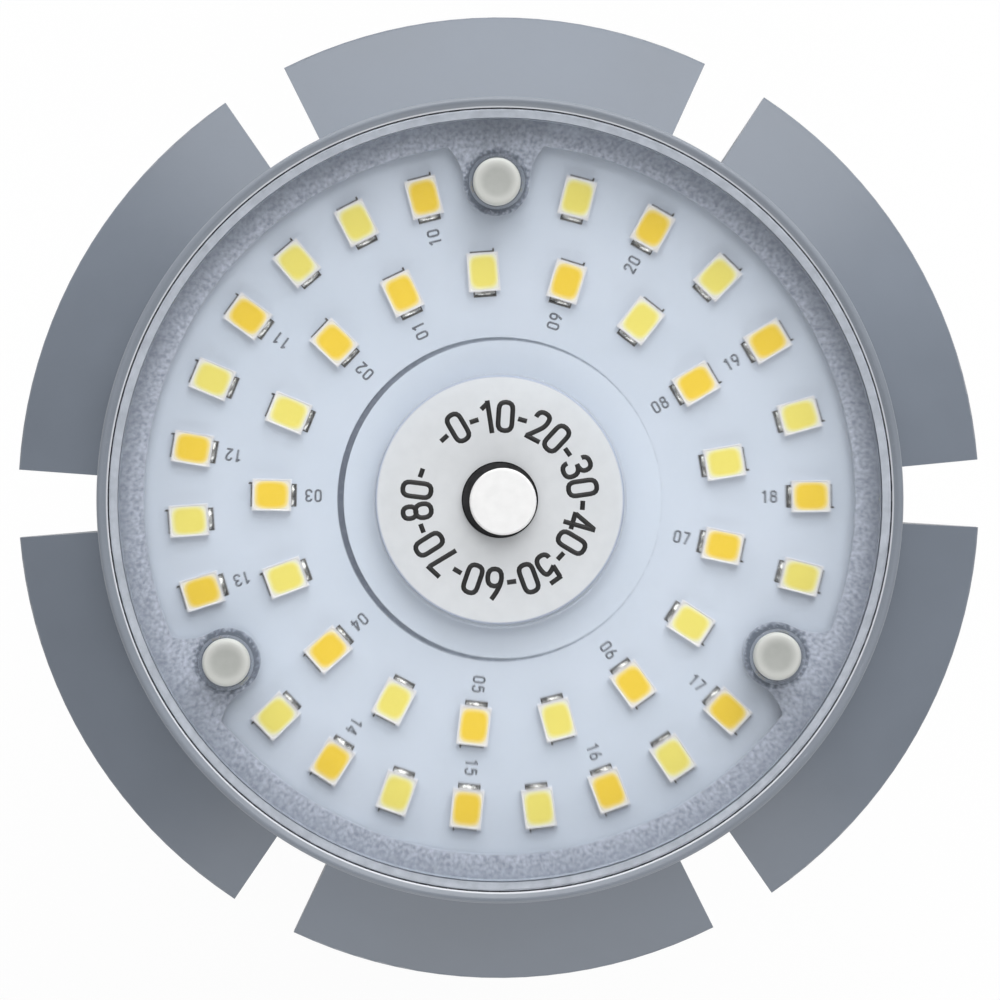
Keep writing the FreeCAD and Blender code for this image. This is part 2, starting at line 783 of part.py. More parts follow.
def front_cover():
    under_z = face_z - cover_thickness
    skirt_bore = cover_radius - cover_skirt_wall
    corners = [
        (cover_bore_radius, under_z, 0),
        (skirt_bore, under_z, 0),
        (skirt_bore, gasket_z, 0),
        (cover_radius, gasket_z, 0),
        (cover_radius, cover_z, cover_edge_round),
        (cover_radius - lip_width, face_z, 0),
        (cover_bore_radius, face_z, cover_bore_round),
    ]
    plate = revolved(rounded_outline(corners))
    cup = cylinder(cup_bore_radius + cup_wall, gasket_z, face_z, boss_circle)
    mouth = cup_bore_radius + cup_chamfer
    bore = revolved(outline([
        (0, cup_bore_z),
        (cup_bore_radius, cup_bore_z),
        (cup_bore_radius, face_z - cup_chamfer),
        (mouth, face_z),
        (0, face_z),
    ]))
    bore.translate(FreeCAD.Vector(boss_circle, 0, 0))
    hole = cylinder(small_screw_radius + slip_gap, gasket_z, face_z, boss_circle)
    plate = plate.fuse(spread(cup, boss_angles))
    return plate.cut(spread(bore, boss_angles) + spread(hole, boss_angles)).removeSplitter()


def cover_screws():
    length = cup_floor + gasket_thickness + screw_bite
    one = screw(small_screw_radius, small_head_radius, small_head_height, length, cup_bore_z)
    one.translate(FreeCAD.Vector(boss_circle, 0, 0))
    return spread(one, boss_angles)


def screw_plugs():
    low = cup_bore_z + small_head_height
    radius = cup_bore_radius - slip_gap
    high = low + plug_thickness
    plug = revolved(rounded_outline([(0, low, 0), (radius, low, 0), (radius, high, plug_round), (0, high, 0)]))
    plug.translate(FreeCAD.Vector(boss_circle, 0, 0))
    return spread(plug, boss_angles)


def interface_bezel():
    bore = jack_collar_radius + slip_gap
    skirt_bore = bezel_skirt_radius - bezel_skirt_wall
    corners = [
        (bore, bezel_z, 0),
        (skirt_bore, bezel_z, 0),
        (skirt_bore, bezel_foot_z, 0),
        (bezel_skirt_radius, bezel_foot_z, 0),
        (bezel_skirt_radius, bezel_z, 0),
        (bezel_radius, bezel_z, 0),
        (bezel_radius, bezel_top_z, bezel_edge_round),
        (bore, bezel_top_z, 0),
    ]
    flange = tube(skirt_bore, flange_radius, floor_z, board_top_z)
    flange.translate(FreeCAD.Vector(flange_shift, 0, 0))
    opening = cylinder(skirt_bore, floor_z, board_top_z)
    return revolved(rounded_outline(corners)).fuse(flange.cut(opening)).removeSplitter()


def interface_jack():
    corners = [
        (0, jack_z),
        (jack_body_radius, jack_z),
        (jack_body_radius, bezel_z),
        (jack_collar_radius, bezel_z),
        (jack_collar_radius, jack_top_z),
        (jack_bore_radius, jack_top_z),
        (jack_bore_radius, jack_top_z - jack_bore_depth),
        (0, jack_top_z - jack_bore_depth),
    ]
    return revolved(outline(corners))


def jack_tag_angles():
    return [k * 360.0 / jack_tag_count for k in range(jack_tag_count)]


def jack_terminals():
    half = jack_tag_width / 2
    thick = jack_tag_thickness / 2
    tag = block(jack_tag_circle - thick, jack_tag_circle + thick, -half, half, jack_z - jack_tag_length, jack_z)
    return spread(tag, jack_tag_angles())


def sensor_leads():
    wire = cylinder(lead_radius, driver_top_z, jack_z - jack_tag_length, jack_tag_circle)
    return spread(wire, jack_tag_angles())


def interface_plug():
    """Rubber stopper: a stem in the bore and a head that leans a little to one side."""
    seat = jack_top_z + slip_gap / 2
    top = seat + stopper_head_height
    corners = [
        (0, seat, 0),
        (stopper_head_radius, seat, 0),
        (stopper_head_radius, top, stopper_head_round),
        (0, top, 0),
    ]
    head = revolved(rounded_outline(corners))
    head.translate(FreeCAD.Vector(stopper_lean, -stopper_lean / 2, 0))
    stem = cylinder(jack_bore_radius - slip_gap, jack_top_z - stopper_stem_length, top - stopper_head_round)
    return head.fuse(stem).removeSplitter()


os.makedirs("parts", exist_ok=True)

save("base_contact", [base_contact()])
save("base_insulator", [base_insulator()])
save("base_shell", [base_shell()])
save("contact_lead", [cylinder(lead_radius, contact_height, driver_z)])
save("shell_lead", [shell_lead()])
save("neck_housing", [neck_housing()])
save("neck_screws", neck_screws())

driver_board, driver_transformer, driver_capacitor, driver_choke = driver_parts()
save("driver_board", [driver_board])
save("driver_transformer", [driver_transformer])
save("driver_capacitor", [driver_capacitor])
save("driver_choke", [driver_choke])

for switch_name, switch_x in zip(("colour", "power"), switch_centres):
    switch_body, switch_slider = switch_parts(switch_x)
    save(switch_name + "_switch", [switch_body])
    save(switch_name + "_slider", [switch_slider])

save("rear_frame", [rear_frame()])
save("core_heatsink", [core_heatsink()])
save("tie_screws", tie_screws())

for number, panel_angle in enumerate(panel_angles, 1):
    save("side_board_" + str(number), [turned(side_board(), panel_angle)])
    save("side_cover_" + str(number), [turned(side_cover(), panel_angle)])
save("side_leds_warm", side_leds("w"))
save("side_leds_cool", side_leds("c"))
save("side_screws", side_screws())
save("side_leads", side_leads())

save("front_frame", [front_frame()])
save("front_board", [front_board()])
save("front_leds_warm", front_leds("w"))
save("front_leds_cool", front_leds("c"))
save("front_leads", front_leads())
save("cover_gasket", [cover_gasket()])
save("front_cover", [front_cover()])
save("cover_screws", cover_screws())
save("screw_plugs", screw_plugs())

save("interface_bezel", [interface_bezel()])
save("interface_jack", [interface_jack()])
save("jack_terminals", jack_terminals())
save("sensor_leads", sensor_leads())
save("interface_plug", [interface_plug()])
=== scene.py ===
import math

import bmesh
import bpy
from mathutils import Matrix, Vector


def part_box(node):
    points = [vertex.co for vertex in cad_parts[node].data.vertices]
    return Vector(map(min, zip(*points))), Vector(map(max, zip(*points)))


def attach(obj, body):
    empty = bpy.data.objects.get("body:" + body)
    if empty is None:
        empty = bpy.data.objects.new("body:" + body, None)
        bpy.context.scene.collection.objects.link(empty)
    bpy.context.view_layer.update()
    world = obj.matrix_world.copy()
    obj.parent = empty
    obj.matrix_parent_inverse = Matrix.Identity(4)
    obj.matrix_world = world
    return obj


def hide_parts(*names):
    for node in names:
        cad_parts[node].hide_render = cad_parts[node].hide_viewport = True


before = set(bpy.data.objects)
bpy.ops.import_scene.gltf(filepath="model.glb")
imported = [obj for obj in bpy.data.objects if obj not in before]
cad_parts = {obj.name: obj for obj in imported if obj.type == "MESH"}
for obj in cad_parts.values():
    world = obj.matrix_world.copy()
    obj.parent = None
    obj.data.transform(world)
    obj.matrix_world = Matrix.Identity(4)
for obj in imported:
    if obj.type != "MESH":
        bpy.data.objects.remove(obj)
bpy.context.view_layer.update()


# Screw base: a solder-tipped brass eyelet in a black glass insulator, inside a rolled nickel-plated shell.
# The shell's thread is rolled in thin sheet, so the plating carries faint lines that run round it
# and small dull patches where it has been screwed in.
noise_range = (0.3, 0.7)


def new_finish(name):
    """New material, its node tree and its shader."""
    material = bpy.data.materials.new(name)
    material.use_nodes = True
    return material, material.node_tree, material.node_tree.nodes["Principled BSDF"]


def stretched_place(tree, stretch):
    """Place on the piece in metres, stretched along its axes."""
    place = tree.nodes.new("ShaderNodeTexCoord")
    fit = tree.nodes.new("ShaderNodeMapping")
    fit.name = "fit"
    fit.inputs["Scale"].default_value = stretch
    tree.links.new(place.outputs["Object"], fit.inputs["Vector"])
    return fit.outputs["Vector"]


def speckle(tree, place, scale, detail):
    """Noise read at a place."""
    noise = tree.nodes.new("ShaderNodeTexNoise")
    noise.inputs["Scale"].default_value = scale
    noise.inputs["Detail"].default_value = detail
    tree.links.new(place, noise.inputs["Vector"])
    return noise


def ramp(tree, value, low, high, low_level=0.0, high_level=1.0):
    """Runs from one level to another while a value runs from low to high."""
    step = tree.nodes.new("ShaderNodeMapRange")
    step.inputs["From Min"].default_value = low
    step.inputs["From Max"].default_value = high
    step.inputs["To Min"].default_value = low_level
    step.inputs["To Max"].default_value = high_level
    tree.links.new(value, step.inputs["Value"])
    return step.outputs["Result"]


def toned(tree, value, *stops):
    """Colours a finish by a value, from (place along it, colour) stops."""
    tone = tree.nodes.new("ShaderNodeValToRGB")
    points = tone.color_ramp.elements
    for count, (position, colour) in enumerate(stops):
        point = points[count] if count < 2 else points.new(position)
        point.position = position
        point.color = (*colour, 1.0)
    tree.links.new(value, tone.inputs["Fac"])
    tree.links.new(tone.outputs["Color"], tree.nodes["Principled BSDF"].inputs["Base Color"])


def embossed(tree, height, depth):
    """Gives a finish a relief of this depth in metres."""
    bump = tree.nodes.new("ShaderNodeBump")
    bump.inputs["Distance"].default_value = depth
    tree.links.new(height, bump.inputs["Height"])
    tree.links.new(bump.outputs["Normal"], tree.nodes["Principled BSDF"].inputs["Normal"])


def surface(name, dark, light, grain, rough, metallic=0.0, relief=0.0, stretch=(1.0, 1.0, 1.0)):
    """Finish whose tone, gloss and relief wander on a noise with this grain, all in metres."""
    material, tree, shader = new_finish(name)
    shader.inputs["Metallic"].default_value = metallic
    noise = speckle(tree, stretched_place(tree, stretch), 1.0 / grain, 5.0)
    noise.name = "noise"
    wander = noise.outputs["Fac"]
    toned(tree, wander, *zip(noise_range, (dark, light)))
    tree.links.new(ramp(tree, wander, *noise_range, *rough), shader.inputs["Roughness"])
    if relief:
        embossed(tree, wander, relief)
    return material


def dress(material, *names):
    """Gives CAD nodes a finish."""
    for name in names:
        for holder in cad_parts[name].material_slots:
            holder.material = material


nickel = surface("nickel_plate", (0.50, 0.49, 0.46), (0.66, 0.64, 0.61), 0.004, (0.20, 0.36), 1.0,
                 0.00002, (1.0, 1.0, 9.0))
dress(nickel, "base_shell")
solder_tip = surface("solder_tip", (0.42, 0.41, 0.40), (0.60, 0.59, 0.57), 0.0022, (0.28, 0.46), 1.0, 0.00006)
dress(solder_tip, "base_contact")
black_glass = surface("black_glass", (0.006, 0.006, 0.008), (0.016, 0.016, 0.020), 0.006, (0.06, 0.16), 0.0, 0.00004)
dress(black_glass, "base_insulator")


# Supply wires: one from the centre contact and one from the shell up to the driver.
# Stranded copper in extruded plastic, soldered at both ends.
wire_black = surface("wire_black", (0.012, 0.012, 0.013), (0.030, 0.030, 0.032), 0.0015, (0.35, 0.50), 0.0, 0.00002)
wire_white = surface("wire_white", (0.62, 0.61, 0.58), (0.74, 0.73, 0.70), 0.0015, (0.35, 0.50), 0.0, 0.00002)
dress(wire_black, "contact_lead")
dress(wire_white, "shell_lead")


# Neck: a moulded plastic cup that swells from the base to the panels and holds the driver.
# Grey plastic with the fine spark grain of its mould, held to the rear frame by three screws.
moulded_grey = surface("moulded_grey", (0.150, 0.165, 0.185), (0.200, 0.215, 0.240), 0.0007, (0.42, 0.58), 0.0, 0.00004)
dress(moulded_grey, "neck_housing")
zinc_steel = surface("zinc_steel", (0.44, 0.45, 0.46), (0.62, 0.63, 0.64), 0.0012, (0.25, 0.42), 1.0, 0.00002)
dress(zinc_steel, "neck_screws")


# Driver: a round board in the neck with a transformer, a capacitor and a choke hanging below it.
# Green glass-fibre board, dark ferrite, printed plastic sleeves.
driver_green = surface("driver_green", (0.012, 0.10, 0.045), (0.020, 0.15, 0.065), 0.0010, (0.30, 0.45), 0.0, 0.00001)
dress(driver_green, "driver_board")
ferrite = surface("ferrite", (0.020, 0.019, 0.019), (0.055, 0.052, 0.050), 0.0012, (0.55, 0.75), 0.0, 0.00004)
dress(ferrite, "driver_transformer")
sleeve_blue = surface("sleeve_blue", (0.010, 0.030, 0.090), (0.018, 0.045, 0.130), 0.0030, (0.22, 0.36), 0.0, 0.00003)
dress(sleeve_blue, "driver_capacitor")
sleeve_amber = surface("sleeve_amber", (0.42, 0.17, 0.03), (0.56, 0.24, 0.05), 0.0020, (0.25, 0.40), 0.0, 0.00003)
dress(sleeve_amber, "driver_choke")


# Selectors: two slide switches on the driver board, each with a white slider that shows in the neck's window.
# Black moulded bodies and glossy white sliders. The three positions of each are printed on the neck as numbers.
switch_black = surface("switch_black", (0.014, 0.014, 0.015), (0.028, 0.028, 0.030), 0.0008, (0.40, 0.55), 0.0, 0.00002)
dress(switch_black, "colour_switch", "power_switch")
slider_white = surface("slider_white", (0.70, 0.70, 0.69), (0.80, 0.80, 0.79), 0.0009, (0.25, 0.38), 0.0, 0.00001)
dress(slider_white, "colour_slider", "power_slider")
numerals = {
    "0": ((True, ((-0.21, -0.43), (-0.21, 0.0), (-0.21, 0.43), (0.21, 0.43), (0.21, 0.0), (0.21, -0.43))),),
    "1": ((False, ((0.07, 0.5), (0.07, -0.5))), (False, ((0.07, 0.42), (-0.15, 0.26)))),
    "2": ((False, ((-0.2, 0.2), (-0.2, 0.43), (0.2, 0.43), (0.2, 0.1), (0.02, -0.16), (-0.2, -0.43))),
          (False, ((-0.25, -0.43), (0.25, -0.43)))),
    "3": ((False, ((-0.2, 0.24), (-0.2, 0.43), (0.2, 0.43), (0.2, 0.04), (-0.08, 0.04))),
          (False, ((-0.08, 0.04), (0.22, 0.04), (0.22, -0.43), (-0.21, -0.43), (-0.21, -0.22)))),
    "4": ((False, ((0.1, 0.5), (0.1, -0.5))), (False, ((0.08, 0.46), (-0.22, -0.2))),
          (False, ((-0.27, -0.22), (0.27, -0.22)))),
    "5": ((False, ((0.21, 0.43), (-0.2, 0.43))), (False, ((-0.15, 0.43), (-0.17, 0.02))),
          (False, ((-0.19, 0.03), (0.0, 0.16), (0.21, 0.14), (0.21, -0.43), (-0.21, -0.43), (-0.21, -0.24)))),
    "6": ((True, ((-0.21, -0.43), (-0.21, 0.09), (0.21, 0.09), (0.21, -0.43))),
          (False, ((-0.21, -0.17), (-0.21, 0.1), (0.06, 0.5)))),
    "7": ((False, ((-0.25, 0.43), (0.25, 0.43))), (False, ((0.19, 0.4), (-0.07, -0.5)))),
    "8": ((True, ((-0.18, 0.03), (-0.18, 0.43), (0.18, 0.43), (0.18, 0.03))),
          (True, ((-0.21, -0.43), (-0.21, 0.05), (0.21, 0.05), (0.21, -0.43)))),
    "9": ((True, ((0.21, 0.43), (0.21, -0.09), (-0.21, -0.09), (-0.21, 0.43))),
          (False, ((0.21, 0.17), (0.21, -0.1), (-0.06, -0.5)))),
    "-": ((False, ((-0.14, -0.02), (0.14, -0.02))),),
}
ink_film = 0.000012
slider_middles = (-0.007, 0.007)
position_lift = 0.0044
position_step = 0.0020
position_size = 0.0017
position_stroke = 0.15


def numeral(mark, stroke):
    """Flat mesh of one numeral, one unit tall, drawn as rounded strokes of even width."""
    curve = bpy.data.curves.new("numeral", "CURVE")
    curve.dimensions = "2D"
    curve.fill_mode = "NONE"
    curve.bevel_depth = stroke / 2
    curve.bevel_resolution = 0
    curve.resolution_u = 4
    curve.use_fill_caps = True
    for closed, points in numerals[mark]:
        spline = curve.splines.new("NURBS" if len(points) > 2 else "POLY")
        spline.points.add(len(points) - 1)
        for point, (x, y) in zip(spline.points, points):
            point.co = (x, y, 0.0, 1.0)
        if len(points) > 2:
            spline.order_u = 3
            spline.use_cyclic_u = closed
            spline.use_endpoint_u = not closed
    holder = bpy.data.objects.new("numeral", curve)
    bpy.context.collection.objects.link(holder)
    mesh = bpy.data.meshes.new_from_object(holder)
    bpy.data.objects.remove(holder)
    bpy.data.curves.remove(curve)
    mesh.transform(Matrix.Diagonal((1.0, 1.0, ink_film / stroke, 1.0)))
    return mesh


def turned(degrees, axis="Z"):
    """Turn about an axis of the lamp."""
    return Matrix.Rotation(math.radians(degrees), 4, axis)


def stamp(bm, mesh, place):
    """Adds a copy of a mesh at a place."""
    before = len(bm.verts)
    bm.from_mesh(mesh)
    bm.verts.ensure_lookup_table()
    bmesh.ops.transform(bm, matrix=place, verts=bm.verts[before:])


def as_mesh(bm, name, *materials):
    """Mesh of a finished shape."""
    mesh = bpy.data.meshes.new(name)
    bm.to_mesh(mesh)
    bm.free()
    for material in materials:
        mesh.materials.append(material)
    return mesh


def on_lamp(name, mesh):
    """Piece that rides on the lamp's body."""
    piece = bpy.data.objects.new(name, mesh)
    bpy.context.collection.objects.link(piece)
    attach(piece, "lamp")
    return piece


def printed(name, marks, stroke, size, ink):
    """Printed numerals: each mark is a numeral and the place of its middle."""
    bm = bmesh.new()
    grow = Matrix.Diagonal((size, size, 1.0, 1.0))
    for mark, place in marks:
        flat = numeral(mark, stroke)
        stamp(bm, flat, place @ grow)
        bpy.data.meshes.remove(flat)
    piece = on_lamp(name, as_mesh(bm, name, ink))


neck_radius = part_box("neck_housing")[1].x
slider_low, slider_high = [corner.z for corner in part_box("colour_slider")]
position_height = (slider_low + slider_high) / 2 + position_lift
position_marks = []
for middle in slider_middles:
    for digit, step in zip("123", (-1, 0, 1)):
        turn = Matrix.Rotation(math.asin((middle + step * position_step) / neck_radius), 4, "Z")
        spot = Matrix.Translation((0.0, -neck_radius, position_height))
        position_marks.append((digit, turn @ spot @ turned(90.0, "X")))
position_ink = surface("position_ink", (0.62, 0.63, 0.64), (0.72, 0.73, 0.74), 0.0004, (0.45, 0.60))
printed("position_numbers", position_marks, position_stroke, position_size, position_ink)


# Rear and front frames: two aluminium castings with six petals each, between which the core and the panels stand.
# Painted a satin blue-grey with a soft orange peel. The front one has a turned ring whose rim is painted lighter, as
# painted light, with a painted highlight along its inner edge.
paint_shade = 0.88
paint_grain = 0.0140
paint_gloss = (0.29, 0.38)
peel_scale = 900.0
peel_depth = 0.000012
lit_rim_tone = (0.232, 0.258, 0.300)
lit_rim_band = (0.0009, 0.0006)
inner_highlight_tone = (0.62, 0.64, 0.68)
inner_highlight_band = (0.03376, 0.03368)
ring_radius = 0.03455
ring_bore = 0.0336
ring_steps = 240
ring_weld = 0.0000005
ring_crease = 40.0
rim_round = 0.00035
rim_lip_round = 0.00012
rim_film = 0.000006
rim_drop = 0.0006
rim_height = 0.0037
round_steps = 6


def satin_paint(name, tone):
    """Sprayed paint, darker in broad patches, with an orange peel in its surface."""
    shade = [paint_shade * part for part in tone]
    material = surface(name, shade, tone, paint_grain, paint_gloss)
    tree = material.node_tree
    peel = speckle(tree, tree.nodes["fit"].outputs["Vector"], peel_scale, 3.0)
    embossed(tree, peel.outputs["Fac"], peel_depth)
    return material


def tinted(tree, share, colour):
    """Turns a finish towards a colour by this share."""
    base = tree.nodes["Principled BSDF"].inputs["Base Color"]
    mix = tree.nodes.new("ShaderNodeMix")
    mix.data_type = "RGBA"
    mix.inputs[7].default_value = (*colour, 1.0)
    tree.links.new(share, mix.inputs[0])
    tree.links.new(base.links[0].from_socket, mix.inputs[6])
    tree.links.new(mix.outputs[2], base)


def flat_place(tree):
    """Place on the piece with its height left out."""
    flat = tree.nodes.new("ShaderNodeVectorMath")
    flat.operation = "MULTIPLY"
    flat.inputs[1].default_value = (1.0, 1.0, 0.0)
    tree.links.new(tree.nodes["fit"].outputs["Vector"], flat.inputs[0])
    return flat.outputs["Vector"]


def banded(material, along, start, end, colour, most=1.0):
    """Turns a finish towards a colour from one radius or height to another."""
    tree = material.node_tree
    if along == "radius":
        radius = tree.nodes.new("ShaderNodeVectorMath")
        radius.operation = "LENGTH"
        tree.links.new(flat_place(tree), radius.inputs[0])
        reached = radius.outputs["Value"]
    else:
        parts = tree.nodes.new("ShaderNodeSeparateXYZ")
        tree.links.new(tree.nodes["fit"].outputs["Vector"], parts.inputs["Vector"])
        reached = parts.outputs["Z"]
    tinted(tree, ramp(tree, reached, start, end, 0.0, most), colour)


def arc(before, corner, after, radius):
    """Points of the round that takes the place of an outline's corner."""
    back = (before - corner).normalized()
    on = (after - corner).normalized()
    half = back.angle(on) / 2
    middle = corner + (back + on).normalized() * radius / math.sin(half)
    start = corner + back * radius / math.tan(half) - middle
    end = corner + on * radius / math.tan(half) - middle
    turns = [step / round_steps for step in range(round_steps + 1)]
    return [middle + start.slerp(end, turn).normalized() * radius for turn in turns]


def softened(bm, crease):
    """Shades a shape smooth, but for edges where its faces turn by more than this many degrees."""
    for face in bm.faces:
        face.smooth = True
    for edge in bm.edges:
        edge.smooth = edge.calc_face_angle(math.pi) < math.radians(crease)


def turned_ring(corners, rounds, top):
    """Ring turned from a closed outline of (radius, height) corners and their rounds, cut off at the top."""
    bm = bmesh.new()
    spots = [Vector(corner) for corner in corners]
    outline = []
    for count, radius in enumerate(rounds):
        corner = spots[count]
        outline += arc(spots[count - 1], corner, spots[(count + 1) % len(spots)], radius) if radius else [corner]
    verts = [bm.verts.new((spot.x, 0.0, min(spot.y, top))) for spot in outline]
    for pair in zip(verts, verts[1:] + verts[:1]):
        bm.edges.new(pair)
    bmesh.ops.spin(bm, geom=bm.verts[:] + bm.edges[:], cent=(0.0, 0.0, 0.0), axis=(0.0, 0.0, 1.0),
                   angle=2 * math.pi, steps=ring_steps, use_merge=True)
    bmesh.ops.remove_doubles(bm, verts=bm.verts, dist=ring_weld)
    bmesh.ops.recalc_face_normals(bm, faces=bm.faces)
    softened(bm, ring_crease)
    return bm


ring_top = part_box("front_frame")[1].z
frame_paint = satin_paint("frame_paint", (0.181, 0.208, 0.251))
# Painted light: the frame's paint turns to the lighter rim tone towards the top of the ring.
banded(frame_paint, "height", ring_top - lit_rim_band[0], ring_top - lit_rim_band[1], lit_rim_tone)
dress(frame_paint, "rear_frame", "front_frame")
# Painted light: the rim piece is painted the lighter rim tone all over.
lit_rim_paint = satin_paint("lit_rim_paint", lit_rim_tone)
# Painted highlight: a light band along the ring's inner edge.
banded(lit_rim_paint, "radius", *inner_highlight_band, inner_highlight_tone)
lean = math.atan2(rim_drop, ring_radius - ring_bore)
rim_corner = ring_top - rim_round + rim_round / math.tan((math.pi / 2 - lean) / 2)
rim_corners = (
    (ring_radius + rim_film, ring_top - rim_height),
    (ring_radius + rim_film, rim_corner + rim_film),
    (ring_bore - rim_film, rim_corner - rim_drop + rim_film),
    (ring_bore - rim_film, ring_top - rim_height),
)
rim_shape = turned_ring(rim_corners, (0.0, rim_round, rim_lip_round, 0.0), ring_top)
ring_rim = on_lamp("ring_rim", as_mesh(rim_shape, "ring_rim", lit_rim_paint))


# Core: a six-sided aluminium extrusion with fins inside, held between the frames by three long screws.
# Bare metal with the fine lines of the die along its length.
extruded = surface("extruded_aluminium", (0.60, 0.61, 0.62), (0.76, 0.77, 0.78), 0.0009, (0.26, 0.42), 1.0,
                   0.00001, (1.0, 1.0, 0.02))
dress(extruded, "core_heatsink")
dress(zinc_steel, "tie_screws")


# Side boards: six aluminium-backed boards screwed to the flats of the core and fed by a pair of wires each.
# White solder mask with a faint blue cast. The screws are left at whatever turn they came tight.
solder_mask = surface("solder_mask", (0.549, 0.592, 0.655), (0.581, 0.619, 0.681), 0.0100, (0.42, 0.52))
dress(solder_mask, *["side_board_%d" % k for k in range(1, 7)])
panel_turns = [turned(30.0 + 60.0 * panel) for panel in range(6)]
side_face = 0.0322
screw_head = (0.0019, 0.0011)
screw_shank = (0.0011, 0.0040)
screw_inset = 0.0040
screw_twists = ((17.0, 23.0), (61.0, 37.0))
screw_sides = 32
screw_crease = 35.0
crown_share = 0.66
crown_line = ((0.86, -0.00010), (0.96, -0.00028), (1.0, -0.00055))
recess_arm = (0.00100, 0.00026)
recess_depth = 0.00055
recess_taper = 0.62


def once(items):
    """Each of the items one time, in their order."""
    return list(dict.fromkeys(items))


def next_loop(bm, edges, share, z):
    """Carries an open loop on to another size and height and gives its new edges."""
    made = bmesh.ops.extrude_edge_only(bm, edges=edges)["geom"]
    for vert in [item for item in made if isinstance(item, bmesh.types.BMVert)]:
        vert.co = (vert.co.x * share, vert.co.y * share, z)
    return [item for item in made if isinstance(item, bmesh.types.BMEdge) and len(item.link_faces) == 1]


def recessed_screw():
    """Screw that points down the Z axis, the seat of its head at z 0 and a cross sunk in its crown."""
    bm = bmesh.new()
    radius, height = screw_head
    arm, half = recess_arm
    mouth = []
    for quarter in range(4):
        for x, y in ((arm, -half), (arm, half), (half, half)):
            mouth.append(bm.verts.new(turned(90.0 * quarter) @ Vector((x, y, height))))
    mouth_edges = [bm.edges.new(pair) for pair in zip(mouth, mouth[1:] + mouth[:1])]
    crown = bmesh.ops.create_circle(bm, segments=screw_sides, radius=radius * crown_share)["verts"]
    bmesh.ops.translate(bm, vec=(0.0, 0.0, height), verts=crown)
    crown_edges = once(edge for vert in crown for edge in vert.link_edges)
    bmesh.ops.triangle_fill(bm, use_beauty=True, edges=mouth_edges + crown_edges)
    foot = next_loop(bm, mouth_edges, recess_taper, height - recess_depth)
    bmesh.ops.edgeloop_fill(bm, edges=foot)
    rim, share = crown_edges, crown_share
    for reach, drop in crown_line:
        rim = next_loop(bm, rim, reach / share, height + drop)
        share = reach
    rim = next_loop(bm, rim, 1.0, 0.0)
    rim = next_loop(bm, rim, screw_shank[0] / radius, 0.0)
    rim = next_loop(bm, rim, 1.0, -screw_shank[1])
    bmesh.ops.edgeloop_fill(bm, edges=rim)
    bmesh.ops.recalc_face_normals(bm, faces=bm.faces)
    softened(bm, screw_crease)
    return as_mesh(bm, "recessed_screw")


def many(name, mesh, places, *materials):
    """One piece that holds a copy of the mesh at each place."""
    bm = bmesh.new()
    for place in places:
        stamp(bm, mesh, place)
    return on_lamp(name, as_mesh(bm, name, *materials))


board_low, board_high = [corner.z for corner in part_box("side_board_1")]
screw_heights = (board_low + screw_inset, board_high - screw_inset)
screw_places = []
for panel, spin in enumerate(panel_turns):
    for z, (first, more) in zip(screw_heights, screw_twists):
        seat = Matrix.Translation((side_face, 0.0, z)) @ turned(90.0, "Y")
        screw_places.append(spin @ seat @ turned(first + more * panel))
side_screws = many("recessed_screws", recessed_screw(), screw_places, zinc_steel)
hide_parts("side_screws")
dress(wire_black, "side_leads")


# Side LEDs: two columns of eight on each board, warm and cool by turns along each column.
# Each package is a white cup filled with yellow phosphor, with a soldered lead at each end.
led_length = 0.00336
led_width = 0.00274
led_height = 0.0007
led_rim = 0.00008
phosphor_corner = 0.00034
phosphor_wall = 0.00005
phosphor_sink = 0.00004
inner_pad = (0.00047, 0.00196, 0.00003)
solder_mound = (0.00034, 0.00178)
mound_heights = (0.00019, 0.00010, 0.00003)
mound_dip = 0.7
outer_line = (0.00015, 0.00195, 0.00005)
outer_shift = 0.00008
hook = (0.00034, 0.00016, 0.00005)
cup_slot, phosphor_slot, solder_slot, lead_slot = range(4)
phosphor_grain = 900.0
phosphor_uneven = 0.12
phosphor_stops = (0.24, 0.54, 0.76)
side_rows = 8
side_middle = 0.1432
side_pitch = 0.0086
side_column = 0.0055


def strip(bm, x, y, length, width, height, slot):
    """Small block that stands on the board, for a cup, a lead or its solder."""
    made = bmesh.ops.create_cube(bm, size=1.0)["verts"]
    bmesh.ops.scale(bm, vec=(length, width, height), verts=made)
    bmesh.ops.translate(bm, vec=(x, y, height / 2), verts=made)
    for face in once(face for vert in made for face in vert.link_faces):
        face.material_index = slot
    return made


def solder(bm, x):
    """Hollow-faced fillet of solder with two lobes, from the board up to the end of the cup."""
    length, width = solder_mound
    low = strip(bm, x - length / 2, 0.0, length, width, mound_heights[0], solder_slot)
    faces = once(face for vert in low for face in vert.link_faces)
    edges = once(edge for vert in low for edge in vert.link_edges)
    for point, normal in (((x - length / 2, 0.0, 0.0), (1.0, 0.0, 0.0)), ((x, 0.0, 0.0), (0.0, 1.0, 0.0))):
        verts = once(vert for face in faces for vert in face.verts)
        cut = bmesh.ops.bisect_plane(bm, geom=verts + edges + faces, plane_co=point, plane_no=normal)["geom"]
        faces = once(item for item in cut if isinstance(item, bmesh.types.BMFace))
        edges = once(item for item in cut if isinstance(item, bmesh.types.BMEdge))
    for vert in once(vert for face in faces for vert in face.verts):
        if vert.co.z > mound_heights[0] / 2:
            step = round((x - vert.co.x) / length * 2)
            between = abs(vert.co.y) < width / 4 and step == 1
            vert.co.z = mound_heights[step] * (mound_dip if between else 1.0)
    for face in faces:
        face.smooth = True


